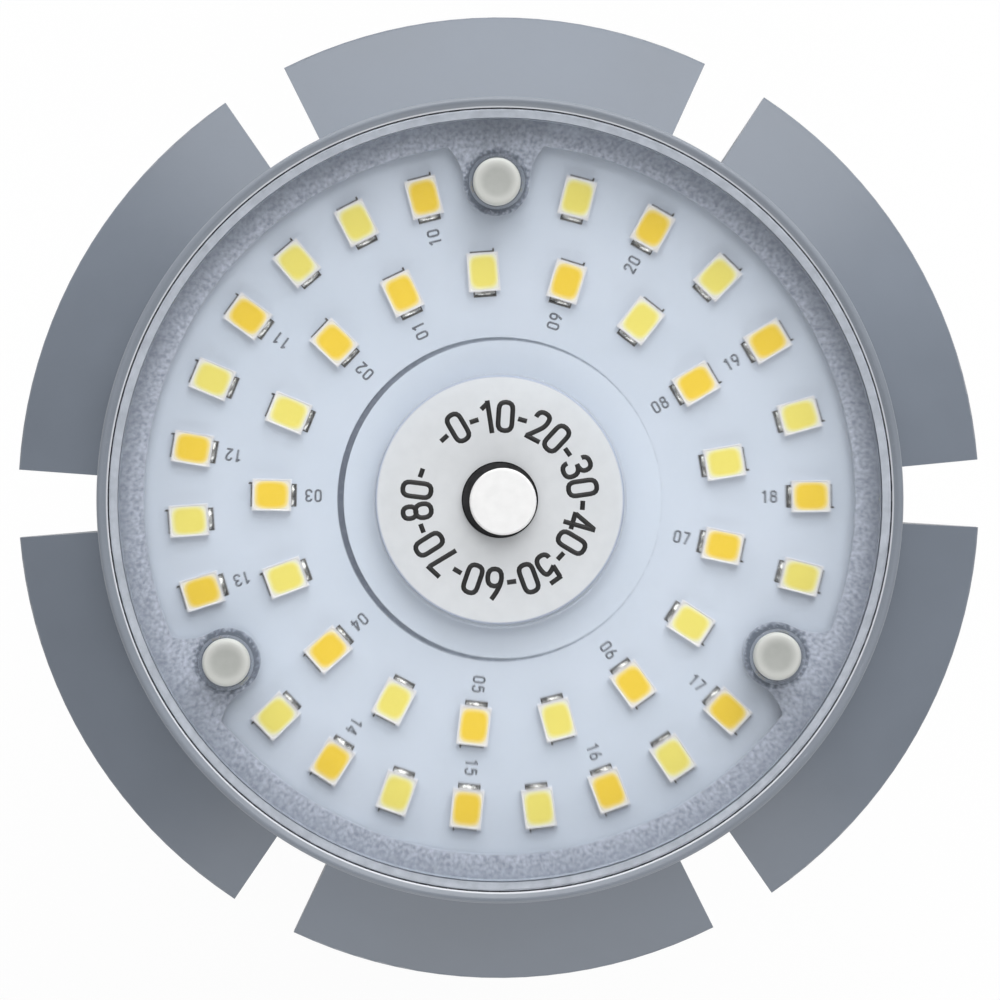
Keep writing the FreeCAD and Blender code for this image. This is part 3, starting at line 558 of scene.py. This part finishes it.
def led_package():
    """One package at the origin: +X runs away from the marked end, the foot is at z 0."""
    bm = bmesh.new()
    strip(bm, 0.0, 0.0, led_length, led_width, led_height, cup_slot)
    top = max(bm.faces, key=lambda face: face.calc_center_median().z)
    bmesh.ops.inset_region(bm, faces=[top], thickness=led_rim, use_even_offset=True)
    bmesh.ops.bevel(bm, geom=list(top.verts), offset=phosphor_corner, segments=3, profile=0.5,
                    affect="VERTICES", material=-1)
    flat = [face for face in bm.faces if face.normal.z > 0.9]
    well = max(flat, key=lambda face: len(face.verts))
    bmesh.ops.inset_region(bm, faces=[well], thickness=phosphor_wall, depth=-phosphor_sink, use_even_offset=True)
    well.material_index = phosphor_slot
    end = led_length / 2
    strip(bm, -end - inner_pad[0] / 2, 0.0, *inner_pad, lead_slot)
    solder(bm, -end)
    strip(bm, end + outer_line[0] / 2, outer_shift, *outer_line, lead_slot)
    strip(bm, end + hook[0] / 2, outer_shift - (outer_line[1] + hook[1]) / 2, *hook, lead_slot)
    grid = bm.loops.layers.uv.new("package")
    for face in bm.faces:
        for loop in face.loops:
            loop[grid].uv = (loop.vert.co.x / led_length + 0.5, loop.vert.co.y / led_width + 0.5)
    return as_mesh(bm, "led_package")


def reckoned(tree, operation, *values):
    """Result of a sum on other nodes' values and plain numbers."""
    step = tree.nodes.new("ShaderNodeMath")
    step.operation = operation
    for socket, value in zip(step.inputs, values):
        if isinstance(value, float):
            socket.default_value = value
        else:
            tree.links.new(value, socket)
    return step.outputs["Value"]


def phosphor(name, middle, edge, border):
    """Yellow fill of a cup, paler towards its edge, read from the package's own map."""
    material, tree, shader = new_finish(name)
    shader.inputs["Roughness"].default_value = 0.38
    shader.inputs["Specular IOR Level"].default_value = 0.2
    grid = tree.nodes.new("ShaderNodeUVMap")
    grid.uv_map = "package"
    centre = tree.nodes.new("ShaderNodeMapping")
    centre.inputs["Location"].default_value = (-1.0, -1.0, 0.0)
    centre.inputs["Scale"].default_value = (2.0, 2.0, 1.0)
    tree.links.new(grid.outputs["UV"], centre.inputs["Vector"])
    power = centre.outputs["Vector"]
    for _ in range(2):
        square = tree.nodes.new("ShaderNodeVectorMath")
        square.operation = "MULTIPLY"
        tree.links.new(power, square.inputs[0])
        tree.links.new(power, square.inputs[1])
        power = square.outputs["Vector"]
    parts = tree.nodes.new("ShaderNodeSeparateXYZ")
    tree.links.new(power, parts.inputs["Vector"])
    reach = reckoned(tree, "ADD", parts.outputs["X"], parts.outputs["Y"])
    place = tree.nodes.new("ShaderNodeTexCoord")
    grains = speckle(tree, place.outputs["Object"], phosphor_grain, 2.0)
    uneven = reckoned(tree, "MULTIPLY_ADD", grains.outputs["Fac"], phosphor_uneven, reach)
    toned(tree, uneven, *zip(phosphor_stops, (middle, edge, border)))
    return material


package = led_package()
cup_white = surface("cup_white", (0.68, 0.655, 0.65), (0.72, 0.695, 0.69), 0.0008, (0.35, 0.50))
solder_bright = surface("solder_bright", (0.25, 0.24, 0.22), (0.95, 0.93, 0.88), 0.0006, (0.10, 0.22), 1.0, 0.00001)
solder_dark = surface("solder_dark", (0.050, 0.047, 0.047), (0.15, 0.14, 0.13), 0.0004, (0.45, 0.70), 0.2, 0.00002)
phosphor_warm = phosphor("phosphor_warm", (0.83, 0.565, 0.052), (0.84, 0.67, 0.27), (0.77, 0.71, 0.60))
phosphor_cool = phosphor("phosphor_cool", (0.80, 0.68, 0.148), (0.81, 0.75, 0.38), (0.76, 0.73, 0.62))
led_warm = (cup_white, phosphor_warm, solder_bright, solder_dark)
led_cool = (cup_white, phosphor_cool, solder_bright, solder_dark)
side_places = {"w": [], "c": []}
for spin in panel_turns:
    for row in range(side_rows):
        height = side_middle + (row - (side_rows - 1) / 2) * side_pitch
        for column, y in enumerate((-side_column, side_column)):
            seat = Matrix.Translation((side_face, y, height)) @ turned(90.0, "Y")
            side_places["wc"[(row + column) % 2]].append(spin @ seat)
side_warm = many("side_packages_warm", package, side_places["w"], *led_warm)
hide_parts("side_leds_warm")
side_cool = many("side_packages_cool", package, side_places["c"], *led_cool)
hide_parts("side_leds_cool")


# Side covers: six clear hoods that slide between the frames over the side boards.
# Extruded polycarbonate, so the only marks in it are faint lines along its length.
clear_bend = 1.58
clear_marks = 260.0
clear_gloss = (0.01, 0.05)
hood_straight = 0.0


def blended(tree, share, first, second):
    """Mix of two shaders, with this share of the second."""
    mix = tree.nodes.new("ShaderNodeMixShader")
    for socket, value in zip(mix.inputs, (share, first, second)):
        tree.links.new(value, socket)
    return mix.outputs["Shader"]


def clear_plastic(name, cast, stretch, straight):
    """Clear plastic that lets the lamps through to what it covers, and a share of the view straight through."""
    material, tree, shader = new_finish(name)
    shader.inputs["Base Color"].default_value = (*cast, 1.0)
    shader.inputs["Transmission Weight"].default_value = 1.0
    shader.inputs["IOR"].default_value = clear_bend
    marks = speckle(tree, stretched_place(tree, stretch), clear_marks, 3.0)
    tree.links.new(ramp(tree, marks.outputs["Fac"], 0.0, 1.0, *clear_gloss), shader.inputs["Roughness"])
    through = tree.nodes.new("ShaderNodeBsdfTransparent")
    through.inputs["Color"].default_value = (*cast, 1.0)
    path = tree.nodes.new("ShaderNodeLightPath")
    passed = reckoned(tree, "MAXIMUM", path.outputs["Is Shadow Ray"], straight)
    mix = blended(tree, passed, shader.outputs["BSDF"], through.outputs["BSDF"])
    tree.links.new(mix, tree.nodes["Material Output"].inputs["Surface"])
    return material


hood_clear = clear_plastic("hood_clear", (0.97, 0.98, 0.99), (1.0, 1.0, 0.03), hood_straight)
dress(hood_clear, *["side_cover_%d" % k for k in range(1, 7)])


# Front board: the round aluminium-backed board in the frame's recess, white solder mask as on the side boards.
# A plain position number is printed in grey beside the inner end of each warm LED.
dress(solder_mask, "front_board")
dress(wire_white, "front_leads")
board_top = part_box("front_board")[1].z
inner_circle = 0.0197
inner_start = 93.5
inner_colours = "cwwcwcwcwcwcwcwcw"
outer_circle = 0.0269
outer_groups = ((150.0, 13.3, "wccwcwcw"), (270.0, 13.3, "cwcwcwcw"), (30.0, 15.0, "cwcwcwc"))
mark_offset = 0.0036
mark_pitch = 0.0008
mark_size = 0.0011
mark_stroke = 0.16
front_spots = []
for count, colour in enumerate(inner_colours):
    front_spots.append((inner_circle, inner_start + count * 360.0 / len(inner_colours), colour))
for middle, pitch, colours in outer_groups:
    for count, colour in enumerate(colours):
        front_spots.append((outer_circle, middle + (count - (len(colours) - 1) / 2) * pitch, colour))
front_places = {"w": [], "c": []}
for circle, angle, colour in front_spots:
    front_places[colour].append(turned(angle) @ Matrix.Translation((circle, 0.0, board_top)))
board_marks = []
for count, place in enumerate(front_places["w"], 1):
    for digit, step in zip("%02d" % count, (-0.5, 0.5)):
        spot = Matrix.Translation((-mark_offset + step * mark_pitch, 0.0, 0.0))
        board_marks.append((digit, place @ spot))
board_ink = surface("board_ink", (0.12, 0.13, 0.15), (0.19, 0.20, 0.22), 0.0004, (0.45, 0.60))
printed("board_numbers", board_marks, mark_stroke, mark_size, board_ink)


# Front LEDs: 17 on the inner circle and 23 on the outer one, in two colours, all with the long lead inwards.
# The same packages as on the side boards.
front_warm = many("front_packages_warm", package, front_places["w"], *led_warm)
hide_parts("front_leds_warm")
front_cool = many("front_packages_cool", package, front_places["c"], *led_cool)
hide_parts("front_leds_cool")


# Gasket: a flat seal on the frame's ledge, with a tongue round each boss.
# Grey silicone, mottled where the clear cover wets it, and painted darker towards the ring as painted shade from the
# ring's wall.
# Under the cover's three screw cups it is painted darkest, with a ragged edge, as painted shade from the plugs and
# screw heads.
cup_circle = 0.0273
cup_angles = (90.0, 210.0, 330.0)
cup_radius = 0.00283
cup_places = [turned(angle) @ Matrix.Translation((cup_circle, 0.0, 0.0)) for angle in cup_angles]
cup_shade_ragged = 0.0012
cup_shade_fade = (0.0008, 0.0003)
ring_shade_band = (0.0310, 0.0330)
ring_shade_share = 0.62


def under_cups(material, reach, colour):
    """Turns a finish towards a colour within this reach of the cups' axes."""
    tree = material.node_tree
    flat = flat_place(tree)
    gaps = []
    for place in cup_places:
        apart = tree.nodes.new("ShaderNodeVectorMath")
        apart.operation = "DISTANCE"
        apart.inputs[1].default_value = place.translation
        tree.links.new(flat, apart.inputs[0])
        gaps.append(apart.outputs["Value"])
    nearest = reckoned(tree, "MINIMUM", reckoned(tree, "MINIMUM", gaps[0], gaps[1]), gaps[2])
    ragged = reckoned(tree, "MULTIPLY_ADD", tree.nodes["noise"].outputs["Fac"], cup_shade_ragged, nearest)
    tinted(tree, ramp(tree, ragged, reach + cup_shade_fade[0], reach + cup_shade_fade[1]), colour)


silicone = surface("silicone", (0.25, 0.27, 0.32), (0.54, 0.56, 0.625), 0.00034, (0.40, 0.65), 0.0, 0.00004)
# Painted shade: the gasket turns darker towards the ring.
banded(silicone, "radius", *ring_shade_band, (0.24, 0.26, 0.30), ring_shade_share)
# Painted shade: the gasket turns darkest under each screw cup, with a ragged edge.
under_cups(silicone, cup_radius, (0.12, 0.135, 0.165))
dress(silicone, "cover_gasket")


# Front cover: a clear moulded disc over the LEDs, with a round hole for the port and three screw cups.
# Polycarbonate, pressed down on the gasket by the screws. Most of the view passes straight through its face,
# and its turned lip is left frosted.
lip_from = 0.0327
seat_lift = 0.00003
foot_within = 0.000001
cover_weld = 0.000002
cover_sliver = 0.000001
cover_crease = 45.0
cover_straight = 0.7


def merged_copy(node, name, finish, *materials):
    """Piece in place of a CAD node: its triangles merged, smooth up to its sharp edges."""
    bm = bmesh.new()
    bm.from_mesh(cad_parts[node].data)
    bmesh.ops.remove_doubles(bm, verts=bm.verts, dist=cover_weld)
    bmesh.ops.dissolve_degenerate(bm, edges=bm.edges, dist=cover_sliver)
    softened(bm, cover_crease)
    for face in bm.faces:
        face.material_index = 0
    mesh = as_mesh(bm, name, *materials)
    if "custom_normal" in mesh.attributes:
        mesh.attributes.remove(mesh.attributes["custom_normal"])
    piece = on_lamp(name, mesh)
    even = piece.modifiers.new("even_shading", "WEIGHTED_NORMAL")
    even.keep_sharp = True
    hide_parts(node)
    return piece


cover_clear = clear_plastic("cover_clear", (0.975, 0.985, 0.995), (1.0, 1.0, 1.0), cover_straight)
frosted = surface("frosted_edge", (0.355, 0.385, 0.435), (0.450, 0.485, 0.545), 0.0009, (0.28, 0.42), 0.0, 0.00001)
cover = merged_copy("front_cover", "clear_disc", "clear_cover", cover_clear, frosted)
cover_foot = min(vert.co.z for vert in cover.data.vertices)
for face in cover.data.polygons:
    if min(cover.data.vertices[corner].co.xy.length for corner in face.vertices) > lip_from:
        face.material_index = 1
for vert in cover.data.vertices:
    if vert.co.z < cover_foot + foot_within:
        vert.co.z += seat_lift
dress(zinc_steel, "cover_screws")


# Screw plugs: three soft plugs pressed into the cups over the cover screws.
# Cloudy silicone rubber, darker in the middle where the steel screw head lies under it.
cap_radius = 0.00205
cap_low, cap_high = [corner.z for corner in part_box("screw_plugs")]
cap_line = ((0.0, -0.00012), (0.45, -0.00010), (0.72, -0.00003), (0.86, 0.0), (0.95, -0.00008), (1.0, -0.00028))
cap_steps = 40
cap_weld = 0.000001
cap_crease = 60.0
cloud_lift = 1.06
cloud_band = (0.45, 0.95)


def cloudy_rubber(name, middle, rim):
    """Rubber that runs from its middle tone to its rim tone across the plug's own map."""
    material = surface(name, middle, [cloud_lift * part for part in middle], 0.0006, (0.42, 0.55), 0.0, 0.000006)
    tree = material.node_tree
    cap = tree.nodes.new("ShaderNodeUVMap")
    cap.uv_map = "cap"
    parts = tree.nodes.new("ShaderNodeSeparateXYZ")
    tree.links.new(cap.outputs["UV"], parts.inputs["Vector"])
    share = ramp(tree, parts.outputs["X"], *cloud_band)
    share.node.interpolation_type = "SMOOTHSTEP"
    tinted(tree, share, rim)
    return material


def rubber_cap():
    """Plug on the Z axis with a dished top, and a map that runs from its middle to its rim."""
    bm = bmesh.new()
    points = [bm.verts.new((share * cap_radius, 0.0, cap_high + drop)) for share, drop in cap_line]
    points.append(bm.verts.new((cap_radius, 0.0, cap_low)))
    points.append(bm.verts.new((0.0, 0.0, cap_low)))
    edges = [bm.edges.new(pair) for pair in zip(points, points[1:])]
    bmesh.ops.spin(bm, geom=points + edges, cent=(0.0, 0.0, 0.0), axis=(0.0, 0.0, 1.0),
                   angle=2 * math.pi, steps=cap_steps, use_merge=True)
    bmesh.ops.remove_doubles(bm, verts=bm.verts, dist=cap_weld)
    bmesh.ops.recalc_face_normals(bm, faces=bm.faces)
    softened(bm, cap_crease)
    cap_map = bm.loops.layers.uv.new("cap")
    for face in bm.faces:
        for loop in face.loops:
            loop[cap_map].uv = (loop.vert.co.xy.length / cap_radius, 0.5)
    return as_mesh(bm, "rubber_cap")


plug_rubber = cloudy_rubber("plug_rubber", (0.37, 0.38, 0.36), (0.56, 0.57, 0.545))
plugs = many("cup_plugs", rubber_cap(), cup_places, plug_rubber)
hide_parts("screw_plugs")


# Port disc: a moulded disc in the middle of the cover, on a flange that lies off-centre in the board's hole.
# White face with a dial scale in plain numbers round the port and a bluish painted shade round its rim. Its flange is
# the board's tone and a little lighter, as painted light against the disc's shadow, and a bead of sealant lies round
# the flange, painted darker where it is sunk as painted shade in the joint.
disc_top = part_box("interface_bezel")[1].z
disc_radius = 0.01075
disc_rim_shade = (0.00024, 0.00010)
flange_radius = 0.01375
flange_shift = 0.00026
flange_below = (0.0002, 0.0001)
joint_bore = 0.01405
bead_gap = 0.000004
bead_sink = (0.00001, 0.0010)
bead_depth = 0.0003
bead_steps = 160
bead_curve = 1.5
bead_shaded = (0.00055, 0.00100)
scale_circle = 0.0072
scale_size = 0.00285
scale_stroke = 0.148
scale_words = "-0-10-20-30-40-50-60-70-80-"
scale_start = 136.0
scale_sweep = 340.0
scale_widths = {"-": 0.60, "1": 0.66}


def joint_bead():
    """Ring of sealant in the joint, flush where the joint is tight and sunk where it is wide."""
    bm = bmesh.new()
    bmesh.ops.create_circle(bm, segments=bead_steps, radius=joint_bore - bead_gap)
    inner = bmesh.ops.create_circle(bm, segments=bead_steps, radius=flange_radius + bead_gap)["verts"]
    bmesh.ops.translate(bm, vec=(flange_shift, 0.0, 0.0), verts=inner)
    bmesh.ops.bridge_loops(bm, edges=bm.edges)
    for vert in bm.verts:
        tight = min(1.0, (1.0 + vert.co.x / vert.co.xy.length) / 2)
        vert.co.z = board_top - bead_sink[0] - (bead_sink[1] - bead_sink[0]) * (1.0 - tight) ** bead_curve
    made = bmesh.ops.extrude_face_region(bm, geom=list(bm.faces), use_keep_orig=True)["geom"]
    foot = [item for item in made if isinstance(item, bmesh.types.BMVert)]
    bmesh.ops.translate(bm, vec=(0.0, 0.0, -bead_depth), verts=foot)
    bmesh.ops.recalc_face_normals(bm, faces=bm.faces)
    return bm


disc_white = surface("disc_white", (0.595, 0.612, 0.630), (0.625, 0.642, 0.660), 0.0012, (0.38, 0.50), 0.0, 0.000004)
# Painted shade: the disc turns bluish-dark towards its rim.
banded(disc_white, "radius", disc_radius - disc_rim_shade[0], disc_radius - disc_rim_shade[1], (0.36, 0.40, 0.50))
# The flange below the disc takes the board's tone, made a little lighter than the board as painted light against the
# disc's shadow on it.
banded(disc_white, "height", board_top + flange_below[0], board_top + flange_below[1], (0.585, 0.628, 0.690))
dress(disc_white, "interface_bezel")
bead_white = surface("bead_white", (0.52, 0.56, 0.62), (0.575, 0.615, 0.68), 0.0006, (0.18, 0.34), 0.0, 0.00001)
# Painted shade: the bead turns dark where it is sunk deepest in the joint.
banded(bead_white, "height", board_top - bead_shaded[0], board_top - bead_shaded[1], (0.27, 0.29, 0.34))
bead = on_lamp("joint_bead", as_mesh(joint_bead(), "joint_bead", bead_white))
scale_marks = []
passed = 0.0
whole = sum(scale_widths.get(letter, 1.0) for letter in scale_words)
for letter in scale_words:
    width = scale_widths.get(letter, 1.0)
    angle = scale_start - scale_sweep * (passed + width / 2) / whole
    passed += width
    scale_marks.append((letter, turned(angle - 90.0) @ Matrix.Translation((0.0, scale_circle, disc_top))))
disc_ink = surface("disc_ink", (0.010, 0.010, 0.010), (0.020, 0.019, 0.019), 0.0004, (0.50, 0.65))
printed("disc_scale", scale_marks, scale_stroke, scale_size, disc_ink)


# Port: a black moulded jack behind the disc with three brass tags and their wires to the driver.
# Glass-filled plastic.
jack_black = surface("jack_black", (0.006, 0.006, 0.007), (0.018, 0.018, 0.020), 0.0006, (0.35, 0.55), 0.0, 0.00001)
dress(jack_black, "interface_jack")
tag_brass = surface("tag_brass", (0.60, 0.43, 0.18), (0.74, 0.56, 0.27), 0.0010, (0.22, 0.38), 1.0, 0.00001)
dress(tag_brass, "jack_terminals")
dress(wire_black, "sensor_leads")


# Port plug: a soft white stopper pressed into the port, its head leaning a little to one side.
# Silicone rubber.
plug_white = surface("plug_white", (0.79, 0.79, 0.79), (0.84, 0.84, 0.84), 0.0010, (0.40, 0.55), 0.0, 0.00001)
dress(plug_white, "interface_plug")


# Stage: a pale floor under the screw base, open from below, and a white sky that is mirrored darker overhead and
# at the sides. Two broad soft lamps stand beyond the picture's top edge and a weaker one beyond its bottom edge.
# The camera looks straight down on the lit end, a little above and left of the axis.
floor_size = 3.0
floor_tone = (0.86, 0.86, 0.86, 1.0)
floor_glow = 0.93
lamp_aim = Vector((0.0, 0.0, 0.18))
camera_lens = 188.4
camera_place = (-0.0047, 0.0082, 0.640)
camera_aim = Vector((0.0, 0.0, 0.190))
camera_roll = -0.6

floor_white, floor_tree, floor_shader = new_finish("floor_white")
floor_shader.inputs["Base Color"].default_value = floor_tone
floor_shader.inputs["Roughness"].default_value = 0.8
floor_path = floor_tree.nodes.new("ShaderNodeLightPath")
floor_side = floor_tree.nodes.new("ShaderNodeNewGeometry")
white_glow = floor_tree.nodes.new("ShaderNodeEmission")
see_through = floor_tree.nodes.new("ShaderNodeBsdfTransparent")
seen = reckoned(floor_tree, "MAXIMUM", floor_path.outputs["Is Camera Ray"], floor_path.outputs["Is Glossy Ray"])
seen = reckoned(floor_tree, "MAXIMUM", seen, floor_path.outputs["Is Transmission Ray"])
floor_direct = reckoned(floor_tree, "LESS_THAN", floor_path.outputs["Diffuse Depth"], 0.5)
glowing = reckoned(floor_tree, "MULTIPLY", reckoned(floor_tree, "MULTIPLY", seen, floor_direct), floor_glow)
floor_top = blended(floor_tree, glowing, floor_shader.outputs["BSDF"], white_glow.outputs["Emission"])
one_way = blended(floor_tree, floor_side.outputs["Backfacing"], floor_top, see_through.outputs["BSDF"])
floor_tree.links.new(one_way, floor_tree.nodes["Material Output"].inputs["Surface"])
bm = bmesh.new()
bmesh.ops.create_grid(bm, x_segments=1, y_segments=1, size=floor_size)
floor = bpy.data.objects.new("floor", as_mesh(bm, "floor", floor_white))
bpy.context.collection.objects.link(floor)

sky = bpy.data.worlds.new("studio")
sky.use_nodes = True
bpy.context.scene.world = sky
sky_tree = sky.node_tree
sky_path = sky_tree.nodes.new("ShaderNodeLightPath")
sky_direct = reckoned(sky_tree, "LESS_THAN", sky_path.outputs["Diffuse Depth"], 0.5)
sky_place = sky_tree.nodes.new("ShaderNodeTexCoord")
sky_parts = sky_tree.nodes.new("ShaderNodeSeparateXYZ")
sky_tree.links.new(sky_place.outputs["Generated"], sky_parts.inputs["Vector"])


def sky_for(rays, others, level=None):
    """Level for one kind of ray that has met nothing dull yet, white if none is given, and the others' level."""
    choice = sky_tree.nodes.new("ShaderNodeMix")
    sky_tree.links.new(reckoned(sky_tree, "MULTIPLY", rays, sky_direct), choice.inputs[0])
    sky_tree.links.new(others, choice.inputs[2])
    choice.inputs[3].default_value = 1.0
    if level is not None:
        sky_tree.links.new(level, choice.inputs[3])
    return choice.outputs[0]


sky_height = sky_parts.outputs["Z"]
sky_sides = reckoned(sky_tree, "ABSOLUTE", sky_parts.outputs["X"])
overhead = ramp(sky_tree, sky_height, 0.10, 0.55, 1.0, 0.22)
sideways = ramp(sky_tree, sky_sides, 0.20, 0.95, 1.0, 0.40)
sky_lit = ramp(sky_tree, sky_height, 0.0, 1.0, 0.12, 0.58)
sky_mirrored = sky_for(sky_path.outputs["Is Glossy Ray"], sky_lit, reckoned(sky_tree, "MULTIPLY", overhead, sideways))
sky_clear = sky_for(sky_path.outputs["Is Transmission Ray"], sky_mirrored)
sky_seen = sky_for(sky_path.outputs["Is Camera Ray"], sky_clear)
sky_tree.links.new(sky_seen, sky_tree.nodes["Background"].inputs["Strength"])
sky_tree.nodes["Background"].inputs["Color"].default_value = (1.0, 1.0, 1.0, 1.0)


def soft_lamp(name, place, width, height, power):
    """Area lamp that faces the lit end."""
    light = bpy.data.lights.new(name, "AREA")
    light.shape = "RECTANGLE"
    light.size = width
    light.size_y = height
    light.energy = power
    lamp = bpy.data.objects.new(name, light)
    lamp.location = place
    lamp.rotation_euler = (lamp_aim - Vector(place)).to_track_quat("-Z", "Y").to_euler()
    bpy.context.collection.objects.link(lamp)


soft_lamp("key", (0.14, 0.60, 0.87), 0.8, 0.6, 4.3)
soft_lamp("low_front", (0.09, 1.00, 0.55), 2.4, 0.45, 11.6)
soft_lamp("fill", (0.05, -0.90, 0.60), 1.8, 0.6, 5.9)

camera_data = bpy.data.cameras.new("camera")
camera_data.sensor_width = 36.0
camera_data.lens = camera_lens
camera = bpy.data.objects.new("camera", camera_data)
camera.location = camera_place
back = (camera.location - camera_aim).normalized()
right = Vector((0.0, 1.0, 0.0)).cross(back).normalized()
upright = Matrix((right, back.cross(right), back)).transposed().to_4x4()
camera.rotation_euler = (upright @ turned(camera_roll)).to_euler()
bpy.context.collection.objects.link(camera)
bpy.context.scene.camera = camera
bpy.context.scene.view_settings.view_transform = "Standard"
